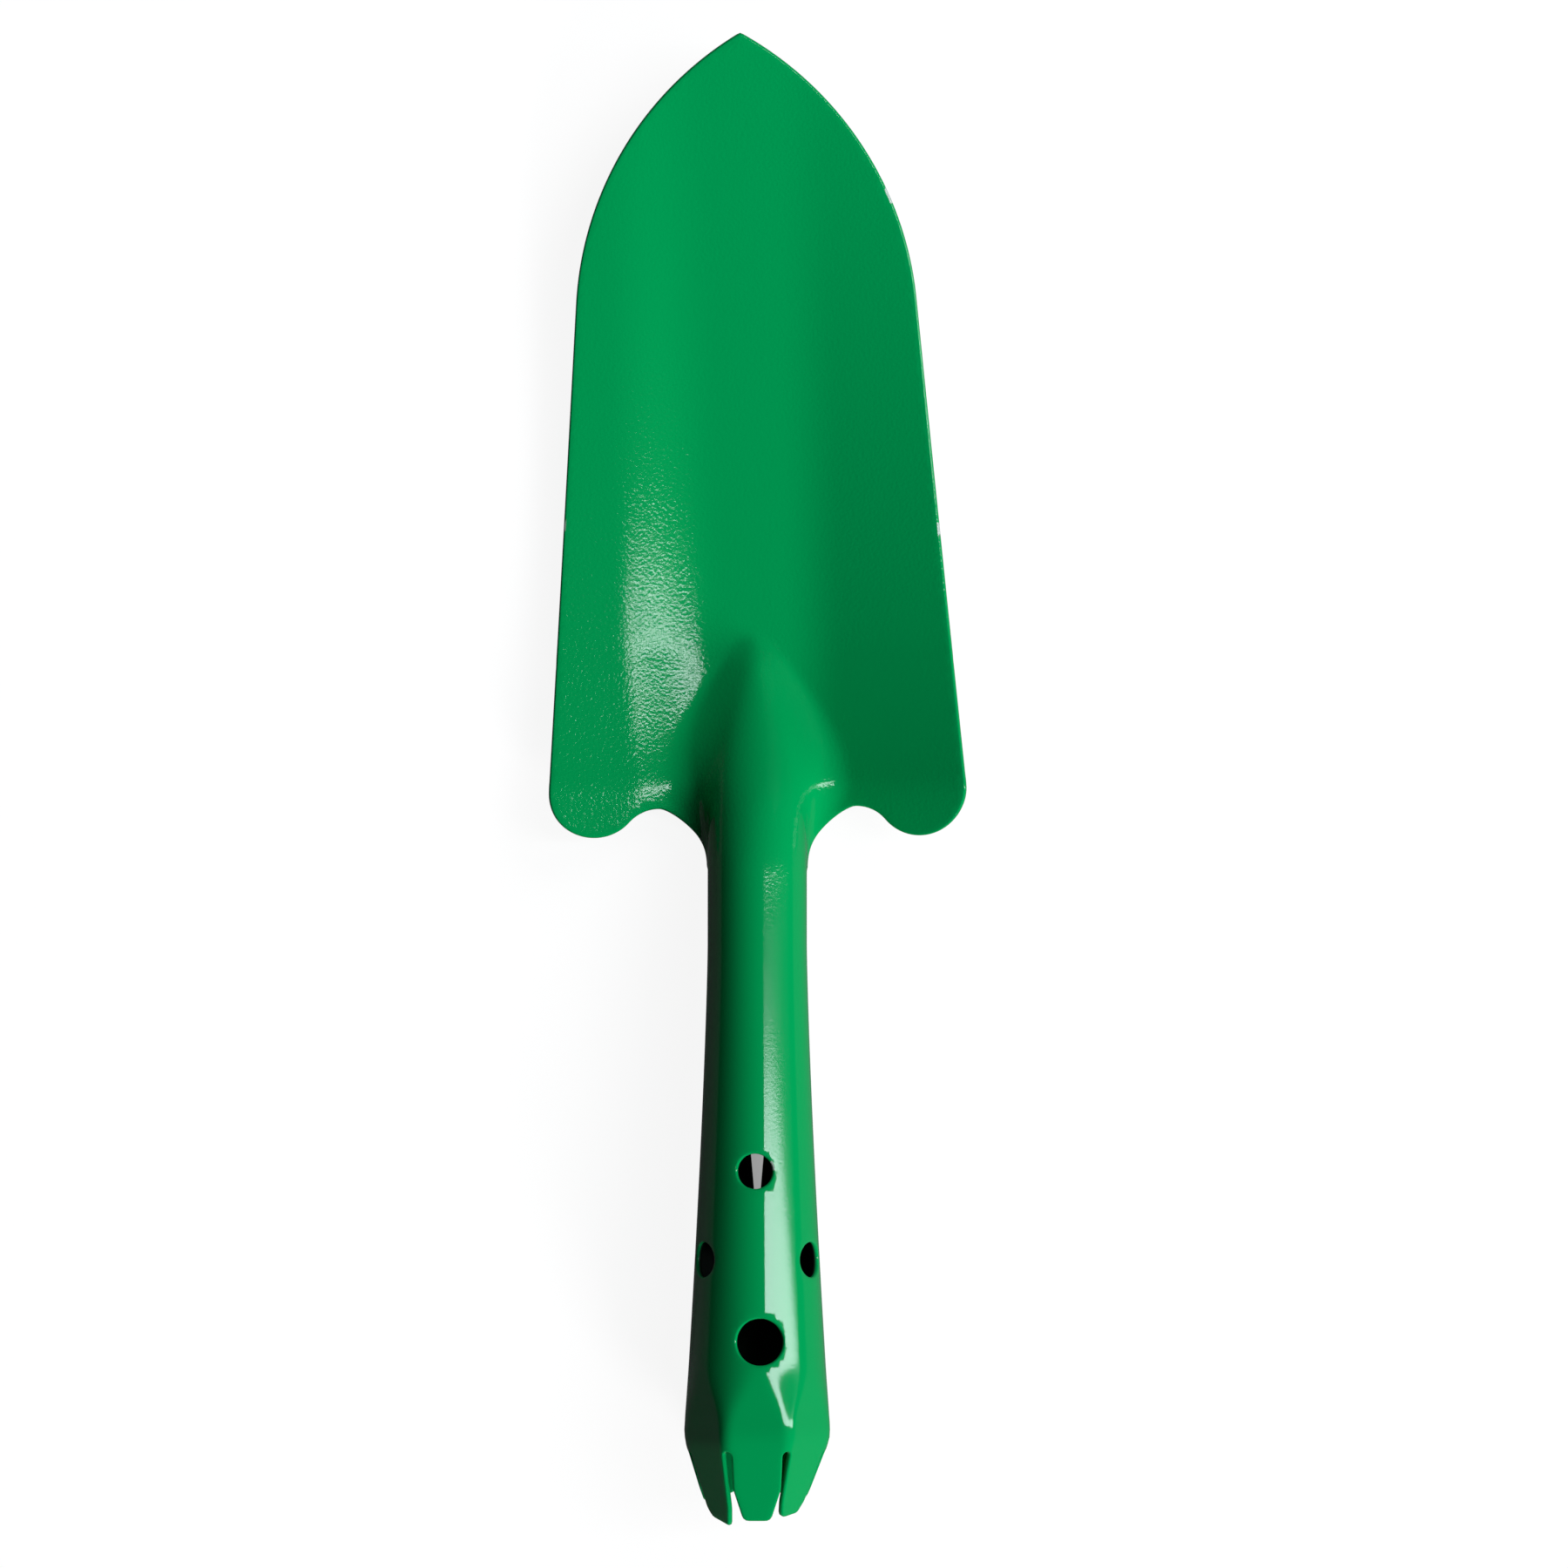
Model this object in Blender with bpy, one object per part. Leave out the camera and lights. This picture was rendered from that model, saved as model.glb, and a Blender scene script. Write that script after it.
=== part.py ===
"""A one-piece pressed steel hand trowel.

The trowel is made the way its press tools make it. A flat blank is cut to its outline, the holes are
pierced in it, and every point of it is then carried to its place on the formed sheet. A point of the
blank has three numbers. Its width is the distance from the centre line, measured along the formed
sheet. Its station is the distance from the fold of the petals towards the tip. Its depth is the
height above the middle of the sheet. Lengths are in millimetres until the mesh is written.
"""

import math

import bmesh
import bpy
import numpy as np

METRE = 0.001

SHEET = 1.3

# Blade, as seen from above
BLADE_WIDTH = 89.6
BLADE_LENGTH = 172.3
SIDE_TAPER = math.radians(4.47)
OGIVE_RADIUS = 72.1
TIP_RADIUS = 1.2
LOBE_RADIUS = 9.8
LOBE_BEHIND_NOTCH = 6.3
NOTCH_RADIUS = 8.4
NOTCH_HALF_WIDTH = 21.2
NOTCH_AHEAD_OF_NECK = 13.3
NOTCH_LEAD = 0.45
NECK_LEAD = 0.5
BLADE_LEAN = math.radians(1.3)
BLADE_SKEW = math.radians(0.9)

# Blade, as seen from the side and in section
TIP_LIFT = 16.0
WALL_SLOPE_REAR = math.radians(21.0)
WALL_SLOPE_TIP = math.radians(4.0)
FLOOR_HALF_WIDTH = 5.4
WALL_BEND = 15.0
WALL_LEAVES_NECK = 20.0
LEFT_WALL_FLARE = 0.74
LEFT_WALL_FLARE_WIDTH = 11.0

# Ridge that stiffens the blade and runs on into the grip
RIDGE_LENGTH = 53.0
RIDGE_FILLET = 9.0
RIDGE_FILLET_AT_NECK = 4.0
RIDGE_FILLET_RUN = 18.0
RIDGE_SPREAD = 0.6
RIDGE_START_RISE = 0.7
RIDGE_START_SOFTNESS = 0.18
RIDGE_LEAST = 0.001

# Neck and grip
NECK_STATION = 119.4
NECK_DIAMETER = 21.3
NECK_LENGTH = 16.0
NECK_STRIP_HALF_WIDTH = 20.2
NECK_ROLL_LENGTH = 55.0
GRIP_DIAMETER = 31.0
GRIP_SWELL = 1.35
GRIP_RISE = math.radians(5.1)
SEAM_CLOSES = 41.5
SEAM_GAP = 0.5

# Petals at the end of the grip
PETALS = 7
FACET_LENGTH = 14.0
FACET_SHARE = 0.8
FRONT_FOLD_ANGLE = math.radians(16.0)
LEFT_FOLD_ANGLE = math.radians(14.5)
RIGHT_FOLD_ANGLE = math.radians(19.0)
FOLD_LENGTH = 4.0
FOLD_BLEND = 0.2
SLOT_WIDTH = 2.5
SLOT_TOP = 4.6
FRONT_PETAL_LENGTH = 20.2
LEFT_PETAL_LENGTH = 21.2
RIGHT_PETAL_LENGTH = 19.9
MIDDLE_PETAL_LENGTH = 16.0
BACK_PETAL_LENGTH = 15.5
FRONT_SHOULDER = 0.65
FRONT_SHOULDER_HALF_WIDTH = 5.1
FRONT_END_HALF_WIDTH = 2.9
SIDE_SHOULDER = 0.82
SIDE_SHOULDER_HALF_WIDTH = 3.8
NEAR_END_HALF_WIDTH = 2.6
FAR_END_HALF_WIDTH = 2.4
LEFT_END_SLANT = 1.8
RIGHT_END_SLANT = 1.0
LEFT_PETAL_CORNER = 0.4
RIGHT_PETAL_CORNER = 1.8
PETAL_CORNER = 1.5
PETAL_SHOULDER_CORNER = 4.8

# Holes, as a station, an angle round the grip from its front, and a diameter
UPPER_HOLE_STATION = 55.0
UPPER_HOLE_ANGLE = math.radians(-2.2)
SIDE_HOLE_STATION = 36.0
SIDE_HOLE_ANGLE = math.radians(61.0)
SMALL_HOLE_DIAMETER = 7.5
HANGING_HOLE_STATION = 18.7
HANGING_HOLE_ANGLE = math.radians(2.6)
HANGING_HOLE_DIAMETER = 10.0

# Fineness of the mesh
NEAR_COLUMN = 2.6
NEAR_COLUMNS = 10
FAR_COLUMN = 4.4
ROW = 4.6
RIDGE_ROW = 2.5
FOLD_ROW = 1.8
SIDE_STEP = 6.0
ARC_STEP = math.radians(15.0)
OGIVE_STEP = math.radians(4.0)
HOLE_SIDES = 24
NOTCH_POINTS = 9
GRIP_EDGE_POINTS = 15
REACH_STEPS = 400
WALK_STEPS = 96
CREST_STEPS = 480
MERGE = 0.08

NOTCH_STATION = NECK_STATION + NOTCH_AHEAD_OF_NECK
LOBE_STATION = NOTCH_STATION - LOBE_BEHIND_NOTCH
WIDEST_STATION = LOBE_STATION + LOBE_RADIUS
TIP_STATION = LOBE_STATION + BLADE_LENGTH
RIDGE_START = NECK_STATION + RIDGE_LENGTH
PITCH_ANGLE = 2.0 * math.pi / PETALS
GRIP_RADIUS = (GRIP_DIAMETER - SHEET) / 2.0
SEAM_CORNER = FACET_SHARE * GRIP_RADIUS * (PITCH_ANGLE / 2.0 / math.sin(PITCH_ANGLE / 2.0) - 1.0)
GRIP_FRONT = SEAM_CORNER + GRIP_DIAMETER - SHEET / 2.0


def clear_scene():
    for old in list(bpy.data.objects):
        bpy.data.objects.remove(old)


def ease(part):
    """0 to 1 with level ends."""
    part = np.clip(part, 0.0, 1.0)
    return part * part * (3.0 - 2.0 * part)


def tube_radius(station):
    """Radius of the middle of the sheet round the neck and grip."""
    swell = np.clip((NECK_STATION - NECK_LENGTH - station) / (NECK_STATION - NECK_LENGTH), 0.0, 1.0)
    return (NECK_DIAMETER + (GRIP_DIAMETER - NECK_DIAMETER) * swell**GRIP_SWELL - SHEET) / 2.0


def grip_front(station):
    """Height of the grip's front line. It rises to the fold, where the seam's corner rests on the ground."""
    return GRIP_FRONT - math.tan(GRIP_RISE) * station


def floor_height(station):
    """Height of the blade's centre line. It lies on the ground where the ridge starts and lifts to the tip."""
    along = (station - RIDGE_START) / (TIP_STATION - RIDGE_START)
    return SHEET / 2.0 + (TIP_LIFT - SHEET / 2.0) * along * along


def floor_slope(station):
    return 2.0 * (TIP_LIFT - SHEET / 2.0) * (station - RIDGE_START) / (TIP_STATION - RIDGE_START) ** 2


def ridge_progress(station):
    return np.clip((RIDGE_START - station) / RIDGE_LENGTH, 0.0, 1.0)


def ridge_height(station):
    """Height of the ridge's crest over the blade's floor, which leads into the grip's front line."""
    part = ridge_progress(station)
    full = grip_front(NECK_STATION) - floor_height(NECK_STATION)
    start_slope = RIDGE_START_RISE * full
    end_slope = (math.tan(GRIP_RISE) + floor_slope(NECK_STATION)) * RIDGE_LENGTH
    rising = start_slope * part * (1.0 - part) ** 2 + full * ease(part) + end_slope * part * part * (part - 1.0)
    return rising * ease(part / RIDGE_START_SOFTNESS)


def ridge_size(station):
    """Size of the ridge's section, from nothing where it starts to 1 where it has its full width."""
    part = np.clip(ridge_progress(station) / RIDGE_SPREAD, RIDGE_LEAST, 1.0)
    return part * (3.0 - part * part) / 2.0


def ridge_radii(station):
    """Radius of the ridge's crest and of the fillet at its foot."""
    size = ridge_size(station)
    spread = ease((station - NECK_STATION) / RIDGE_FILLET_RUN)
    fillet = RIDGE_FILLET_AT_NECK + (RIDGE_FILLET - RIDGE_FILLET_AT_NECK) * spread
    return tube_radius(NECK_STATION) * size, fillet * size


def ridge_angle(width, station):
    """Downward slope of the ridge's section: crest, straight flank and fillet."""
    height = ridge_height(station)
    crest, fillet = ridge_radii(station)
    both = crest + fillet
    flank = 2.0 * np.arctan2(both - np.abs(both - height), 2.0 * both - height)
    straight = np.hypot(both - both * np.sin(flank), height - both * (1.0 - np.cos(flank)))
    on_crest = np.minimum(width / crest, flank)
    on_fillet = flank - (width - crest * flank - straight) / fillet
    return np.clip(np.minimum(on_crest, on_fillet), 0.0, None)


def wall_slope(station):
    along = (station - WIDEST_STATION) / (TIP_STATION - WIDEST_STATION)
    return WALL_SLOPE_REAR + (WALL_SLOPE_TIP - WALL_SLOPE_REAR) * np.clip(along, 0.0, 1.0)


def wall_angle(width, station, side):
    """Upward slope of the dished blade's wall, which is flatter towards the edge on the left."""
    leaving = ease((station - NECK_STATION) / WALL_LEAVES_NECK)
    start = NECK_STRIP_HALF_WIDTH + (FLOOR_HALF_WIDTH - NECK_STRIP_HALF_WIDTH) * leaving
    reach = width - start
    flare = np.where(side < 0.0, LEFT_WALL_FLARE, 0.0) * ease((reach - WALL_BEND) / LEFT_WALL_FLARE_WIDTH)
    return wall_slope(station) * ease(reach / WALL_BEND) * (1.0 - flare)


def blade_angle(width, station, side):
    return ridge_angle(width, station) - wall_angle(width, station, side)


def facet_share(station):
    return FACET_SHARE * ease((FACET_LENGTH - station) / FACET_LENGTH)


def tube_angle(width, station):
    """Slope of the tube's section: legs that roll in to a circle, then a circle that turns to facets."""
    turn = width / tube_radius(station)
    rolled = math.pi / 2.0 * (1.0 + ease((NECK_STATION - station) / NECK_ROLL_LENGTH))
    turn = np.minimum(turn, rolled)
    sector = np.round(turn / PITCH_ANGLE)
    inside = turn / PITCH_ANGLE - sector
    flat = facet_share(station)
    corner = np.sign(inside) * np.clip(np.abs(inside) - flat / 2.0, 0.0, None) / (1.0 - flat)
    return PITCH_ANGLE * (sector + corner)


def section_angle(width, station, side):
    return np.where(station < NECK_STATION, tube_angle(width, station), blade_angle(width, station, side))


def blade_crest_height(station):
    """Height of the blade's centre line, with the ridge raised so that the walls beside it stay smooth."""
    steps = BLADE_WIDTH / 2.0 * (np.arange(CREST_STEPS) + 0.5) / CREST_STEPS
    ridge = ridge_angle(steps, station[:, None])
    wall = wall_angle(steps, station[:, None], 1.0)
    drop = BLADE_WIDTH / 2.0 * (np.sin(ridge - wall) + np.sin(wall)).mean(axis=1)
    return floor_height(station) + drop


def crest_height(station):
    """Height of the sheet's centre line."""
    radius = tube_radius(station)
    flat = facet_share(station)
    half = PITCH_ANGLE / 2.0
    facet_drop = flat * radius * (1.0 - half / math.tan(half))
    tube = grip_front(station) - facet_drop
    return np.where(station < NECK_STATION, tube, blade_crest_height(station))


def lean(station):
    """Sideways offset of the blade, which leans a little off the grip's line."""
    return -math.tan(BLADE_LEAN) * np.clip(station - WIDEST_STATION, 0.0, None)


def skew(station):
    """How much further towards the tip a point of the blade lies for each step to the right."""
    return math.tan(BLADE_SKEW) * ease((station - NECK_STATION) / NOTCH_AHEAD_OF_NECK)


def walk(width, station):
    """Sideways and downward distance reached by walking along the section from its centre line."""
    steps = (np.arange(WALK_STEPS) + 0.5) / WALK_STEPS
    size = np.abs(width)
    angles = section_angle(size[:, None] * steps, station[:, None], np.sign(width)[:, None])
    return width * np.cos(angles).mean(axis=1), size * np.sin(angles).mean(axis=1)


def fold(width, station):
    """Where a point beyond the fold lies: how far in, and its place along the grip."""
    steps = (np.arange(WALK_STEPS) + 0.5) / WALK_STEPS
    beyond = np.maximum(-station, 0.0)
    petal = np.abs(width) / (PITCH_ANGLE * tube_radius(0.0))
    hand = np.where(width < 0.0, LEFT_FOLD_ANGLE, RIGHT_FOLD_ANGLE)
    full = FRONT_FOLD_ANGLE + (hand - FRONT_FOLD_ANGLE) * ease((petal - 0.5) / FOLD_BLEND + 0.5)
    angles = full[:, None] * ease(beyond[:, None] * steps / FOLD_LENGTH)
    inward = beyond * np.sin(angles).mean(axis=1)
    along = np.maximum(station, 0.0) - beyond * np.cos(angles).mean(axis=1)
    return inward, along


def middle_of_sheet(width, station):
    """Points on the middle of the formed sheet."""
    held = np.maximum(station, 0.0)
    side, down = walk(width, held)
    angle = section_angle(np.abs(width), held, np.sign(width)) * np.sign(width)
    inward, along = fold(width, station)
    return np.stack(
        [
            side - np.sin(angle) * inward + lean(held),
            along + side * skew(held),
            crest_height(held) - down - np.cos(angle) * inward,
        ],
        axis=1,
    )


def formed(width, station, depth):
    """The blank's points carried to the formed sheet."""
    step = 0.02
    across = middle_of_sheet(width + step, station) - middle_of_sheet(width - step, station)
    along = middle_of_sheet(width, station + step) - middle_of_sheet(width, station - step)
    normal = np.cross(across, along)
    normal /= np.linalg.norm(normal, axis=1)[:, None]
    return middle_of_sheet(width, station) + normal * depth[:, None]


def developed(points, side):
    """Points of the plan view with their sideways distance measured along the formed sheet instead."""
    reach = np.linspace(0.0, BLADE_WIDTH, REACH_STEPS)
    result = []
    for width, station in points:
        sides, _ = walk(side * reach, np.full_like(reach, station))
        result.append((float(np.interp(width, side * sides, reach)), station))
    return result


def arc(centre, radius, start, end, step=ARC_STEP):
    """Points round an arc, both ends included."""
    count = max(2, math.ceil(abs(end - start) / step) + 1)
    return [
        (centre[0] + radius * math.cos(turn), centre[1] + radius * math.sin(turn))
        for turn in np.linspace(start, end, count)
    ]


def bezier(first, lead_out, lead_in, last, count):
    points = []
    for part in np.linspace(0.0, 1.0, count):
        rest = 1.0 - part
        weights = (rest**3, 3.0 * rest * rest * part, 3.0 * rest * part * part, part**3)
        corners = (first, lead_out, lead_in, last)
        points.append(tuple(sum(w * c[axis] for w, c in zip(weights, corners)) for axis in (0, 1)))
    return points


def rounded(before, corner, after, radius):
    """An arc in place of a corner."""
    into = np.subtract(before, corner)
    out = np.subtract(after, corner)
    into_length = np.linalg.norm(into)
    out_length = np.linalg.norm(out)
    into = into / into_length
    out = out / out_length
    half = math.acos(float(np.clip(np.dot(into, out), -1.0, 1.0))) / 2.0
    setback = min(radius / math.tan(half), into_length / 2.0, out_length / 2.0)
    radius = setback * math.tan(half)
    middle = (into + out) / np.linalg.norm(into + out)
    centre = np.asarray(corner) + middle * radius / math.sin(half)
    start = np.asarray(corner) + into * setback - centre
    end = np.asarray(corner) + out * setback - centre
    turn_start = math.atan2(start[1], start[0])
    sweep = math.atan2(start[0] * end[1] - start[1] * end[0], float(np.dot(start, end)))
    return arc(centre, radius, turn_start, turn_start + sweep)


def side_line(station):
    """Half width of the blade along its straight side."""
    return BLADE_WIDTH / 2.0 - (station - WIDEST_STATION) * math.tan(SIDE_TAPER)


def ogive():
    """The arc from the tip to the straight side, which it meets without a corner."""
    facing = np.array([math.cos(SIDE_TAPER), math.sin(SIDE_TAPER)])
    along = np.array([-math.sin(SIDE_TAPER), math.cos(SIDE_TAPER)])
    on_side = np.array([BLADE_WIDTH / 2.0, WIDEST_STATION]) - facing * OGIVE_RADIUS
    tip = np.array([0.0, TIP_STATION])
    gap = tip - on_side
    reach = float(np.dot(gap, along))
    off = float(np.dot(gap, facing))
    centre = on_side + along * (reach - math.sqrt(OGIVE_RADIUS**2 - off * off))
    start = math.atan2(tip[1] - centre[1], tip[0] - centre[0])
    points = arc(centre, OGIVE_RADIUS, start, SIDE_TAPER, OGIVE_STEP)
    blunted = rounded((-points[1][0], points[1][1]), points[0], points[1], TIP_RADIUS)
    return [point for point in blunted if point[0] >= 0.0] + points[1:]


def straight_side(start, end):
    """Points down the straight side, which the formed sheet needs at short steps."""
    count = math.ceil((start - end) / SIDE_STEP)
    return [(side_line(station), float(station)) for station in np.linspace(start, end, count + 1)[1:-1]]


def lobe_and_notch():
    """The round rear corner of the blade, and the first half of the notch beside the neck."""
    rear = LOBE_STATION + LOBE_RADIUS
    lobe = (side_line(rear) - LOBE_RADIUS / math.cos(SIDE_TAPER), rear)
    notch = (NOTCH_HALF_WIDTH, NOTCH_STATION - NOTCH_RADIUS)
    gap = math.hypot(lobe[0] - notch[0], lobe[1] - notch[1])
    facing = math.atan2(notch[1] - lobe[1], notch[0] - lobe[0])
    lean_in = math.acos(min(1.0, (LOBE_RADIUS + NOTCH_RADIUS) / gap))
    leave = (facing + lean_in) % (2.0 * math.pi) - 2.0 * math.pi
    return arc(lobe, LOBE_RADIUS, SIDE_TAPER, leave) + arc(notch, NOTCH_RADIUS, leave + math.pi, math.pi / 2.0)


def strip_half_width(station):
    """Half width of the strip that is rolled into the neck and the grip."""
    closed = math.pi * tube_radius(station) - SEAM_GAP / 2.0
    at_close = math.pi * tube_radius(SEAM_CLOSES) - SEAM_GAP / 2.0
    open_part = (station - SEAM_CLOSES) / (NECK_STATION - SEAM_CLOSES)
    straight = at_close + (NECK_STRIP_HALF_WIDTH - at_close) * open_part
    return float(min(closed, straight) if station > SEAM_CLOSES else closed)


def notch_to_neck(start):
    """The second half of the notch, down to the strip's edge."""
    end = (strip_half_width(NECK_STATION), NECK_STATION)
    return bezier(
        start,
        (start[0] - NOTCH_LEAD * (start[0] - end[0]), start[1]),
        (end[0], end[1] + NECK_LEAD * (start[1] - end[1])),
        end,
        NOTCH_POINTS,
    )


def petal_length(index, hand):
    """Length of a petal, counted from the front one round to the seam."""
    side = LEFT_PETAL_LENGTH if hand < 0.0 else RIGHT_PETAL_LENGTH
    return (FRONT_PETAL_LENGTH, side, MIDDLE_PETAL_LENGTH, BACK_PETAL_LENGTH)[index]


def petal_end(index, side, hand):
    """Where the end's corner and its middle lie, as widths from the petal's middle and distances from the fold."""
    length = petal_length(index, hand)
    if index == 0:
        return (FRONT_END_HALF_WIDTH, length), length
    slant = LEFT_END_SLANT if hand < 0.0 else RIGHT_END_SLANT
    middle = length - slant * NEAR_END_HALF_WIDTH / (NEAR_END_HALF_WIDTH + FAR_END_HALF_WIDTH)
    if side < 0.0:
        return (NEAR_END_HALF_WIDTH, length), middle
    return (FAR_END_HALF_WIDTH, length - slant), middle


def petal_side(index, side, hand):
    """Outline from the slot to the middle of the petal's end, whose corner next to the front is the longer."""
    pitch = PITCH_ANGLE * float(tube_radius(0.0))
    centre = index * pitch
    length = petal_length(index, hand)
    (end_half_width, end_length), middle = petal_end(index, side, hand)
    corner = PETAL_CORNER
    if index > 0 and side < 0.0:
        corner = LEFT_PETAL_CORNER if hand < 0.0 else RIGHT_PETAL_CORNER
    shoulder = (SIDE_SHOULDER_HALF_WIDTH, SIDE_SHOULDER * length)
    if index == 0:
        shoulder = (FRONT_SHOULDER_HALF_WIDTH, FRONT_SHOULDER * length)
    corners = [
        (centre + side * (pitch - SLOT_WIDTH) / 2.0, -SLOT_TOP - SLOT_WIDTH / 2.0),
        (centre + side * shoulder[0], -shoulder[1]),
        (centre + side * end_half_width, -end_length),
        (centre, -middle),
    ]
    points = [corners[0]]
    points += rounded(corners[0], corners[1], corners[2], PETAL_SHOULDER_CORNER)
    points += rounded(corners[1], corners[2], corners[3], corner)
    return points


def petals(hand):
    """The outline of the petals and slots, from the seam to the middle of the front petal."""
    pitch = PITCH_ANGLE * float(tube_radius(0.0))
    points = []
    for index in range((PETALS - 1) // 2, 0, -1):
        points += petal_side(index, 1.0, hand)
        points += petal_side(index, -1.0, hand)[::-1]
        slot = ((index - 0.5) * pitch, -SLOT_TOP - SLOT_WIDTH / 2.0)
        points += arc(slot, SLOT_WIDTH / 2.0, 0.0, math.pi)[1:-1]
    return points + petal_side(0, 1.0, hand)


def half_outline(side):
    """One half of the blank, from the tip to the middle of the front petal, as widths from the centre line."""
    front = ogive()
    rear = lobe_and_notch()
    points = developed(front + straight_side(front[-1][1], rear[0][1]) + rear, side)
    points += notch_to_neck(points[-1])[1:]
    stations = sorted([*np.linspace(NECK_STATION, 0.0, GRIP_EDGE_POINTS)[1:], SEAM_CLOSES], reverse=True)
    points += [(strip_half_width(station), float(station)) for station in stations]
    return points + petals(side)


def row_stations(low, high):
    """Stations of the mesh's rows, closer together about the fold and the ridge."""
    ends = np.arange(-FOLD_LENGTH - ROW, low, -ROW)
    folds = np.arange(-FOLD_LENGTH, FACET_LENGTH, FOLD_ROW)
    grip = np.arange(FACET_LENGTH, NECK_STATION - RIDGE_ROW, ROW)
    ridge = np.arange(NECK_STATION, RIDGE_START, RIDGE_ROW)
    blade = np.arange(RIDGE_START, high, ROW)
    return [float(station) for station in (*ends, *folds, *grip, *ridge, *blade)]


def column_widths(widest):
    """Distances of the mesh's columns from the centre line, closer together over the ridge."""
    near = NEAR_COLUMN * np.arange(1, NEAR_COLUMNS + 1)
    return [float(width) for width in (*near, *np.arange(near[-1] + FAR_COLUMN, widest, FAR_COLUMN))]


def flat_blank():
    """The blank as a flat plate, cut into rows and columns so that it can bend."""
    right = half_outline(1.0)
    left = [(-width, station) for width, station in reversed(half_outline(-1.0)) if width > 0.0]
    mesh = bmesh.new()
    outline = right + left
    mesh.faces.new([mesh.verts.new((width, station, -SHEET / 2.0)) for width, station in outline])
    widest = max(width for width, _ in outline)
    columns = [side * width for width in column_widths(widest) for side in (-1.0, 1.0)]
    cuts = [((column, 0.0, 0.0), (1.0, 0.0, 0.0)) for column in [0.0] + columns]
    lowest = min(station for _, station in outline)
    cuts += [((0.0, station, 0.0), (0.0, 1.0, 0.0)) for station in row_stations(lowest, TIP_STATION)]
    for place, facing in cuts:
        everything = mesh.verts[:] + mesh.edges[:] + mesh.faces[:]
        bmesh.ops.bisect_plane(mesh, geom=everything, dist=MERGE, plane_co=place, plane_no=facing)
    raised = bmesh.ops.extrude_face_region(mesh, geom=mesh.faces[:])
    top = [item for item in raised["geom"] if isinstance(item, bmesh.types.BMVert)]
    bmesh.ops.translate(mesh, verts=top, vec=(0.0, 0.0, SHEET))
    bmesh.ops.recalc_face_normals(mesh, faces=mesh.faces[:])
    return mesh


def object_of(name, mesh):
    data = bpy.data.meshes.new(name)
    mesh.to_mesh(data)
    mesh.free()
    made = bpy.data.objects.new(name, data)
    bpy.context.scene.collection.objects.link(made)
    return made


def punch(name, station, angle, diameter):
    """A round punch that stands on the blank where its hole goes."""
    mesh = bmesh.new()
    bmesh.ops.create_cone(
        mesh,
        cap_ends=True,
        segments=HOLE_SIDES,
        radius1=diameter / 2.0,
        radius2=diameter / 2.0,
        depth=4.0 * SHEET,
    )
    made = object_of(name, mesh)
    made.location = (angle * float(tube_radius(station)), station, 0.0)
    made.hide_render = True
    made.display_type = "WIRE"
    return made


def punches():
    return [
        punch("punch_upper_hole", UPPER_HOLE_STATION, UPPER_HOLE_ANGLE, SMALL_HOLE_DIAMETER),
        punch("punch_left_hole", SIDE_HOLE_STATION, -SIDE_HOLE_ANGLE, SMALL_HOLE_DIAMETER),
        punch("punch_right_hole", SIDE_HOLE_STATION, SIDE_HOLE_ANGLE, SMALL_HOLE_DIAMETER),
        punch("punch_hanging_hole", HANGING_HOLE_STATION, HANGING_HOLE_ANGLE, HANGING_HOLE_DIAMETER),
    ]


def pierced(blank):
    """The blank's mesh once the punches have gone through it."""
    for tool in punches():
        cut = blank.modifiers.new(tool.name, "BOOLEAN")
        cut.operation = "DIFFERENCE"
        cut.object = tool
    graph = bpy.context.evaluated_depsgraph_get()
    graph.update()
    return bpy.data.meshes.new_from_object(blank.evaluated_get(graph))


def form(data):
    """Carries every point of the pierced blank to the formed sheet, then stands it on the ground."""
    flat = np.empty(len(data.vertices) * 3)
    data.vertices.foreach_get("co", flat)
    flat = flat.reshape(-1, 3)
    points = formed(flat[:, 0], flat[:, 1], flat[:, 2])
    low = points.min(axis=0)
    high = points.max(axis=0)
    points -= np.array([(low[0] + high[0]) / 2.0, (low[1] + high[1]) / 2.0, low[2]])
    data.vertices.foreach_set("co", (points * METRE).ravel())
    data.update()
    data.shade_smooth()
    data.set_sharp_from_angle(angle=math.radians(40.0))


def green_enamel():
    paint = bpy.data.materials.new("green_enamel")
    paint.use_nodes = True
    shader = paint.node_tree.nodes["Principled BSDF"]
    shader.inputs["Base Color"].default_value = (0.001, 0.296, 0.076, 1.0)
    shader.inputs["Roughness"].default_value = 0.28
    shader.inputs["Metallic"].default_value = 0.0
    return paint


def trowel_body():
    blank = object_of("blank", flat_blank())
    blank.hide_render = True
    blank.display_type = "WIRE"
    data = pierced(blank)
    data.name = "trowel_body"
    form(data)
    data.materials.clear()
    data.materials.append(green_enamel())
    body = bpy.data.objects.new("trowel_body", data)
    bpy.context.scene.collection.objects.link(body)
    return body


clear_scene()
trowel_body()
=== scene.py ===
"""The garden trowel as photographed: the same pressed sheet as the CAD, formed from a finer blank.

The CAD's one node is replaced by a fine mesh of the same sheet, with rounded edges, under gloss green
enamel. A point of the flat blank has a width across the sheet, a station from the petals' fold towards
the tip, and a depth above the middle of the sheet. Lengths are millimetres until the mesh is written.
"""

import math

import bpy
import numpy as np
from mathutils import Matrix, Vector, geometry, kdtree


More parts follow.
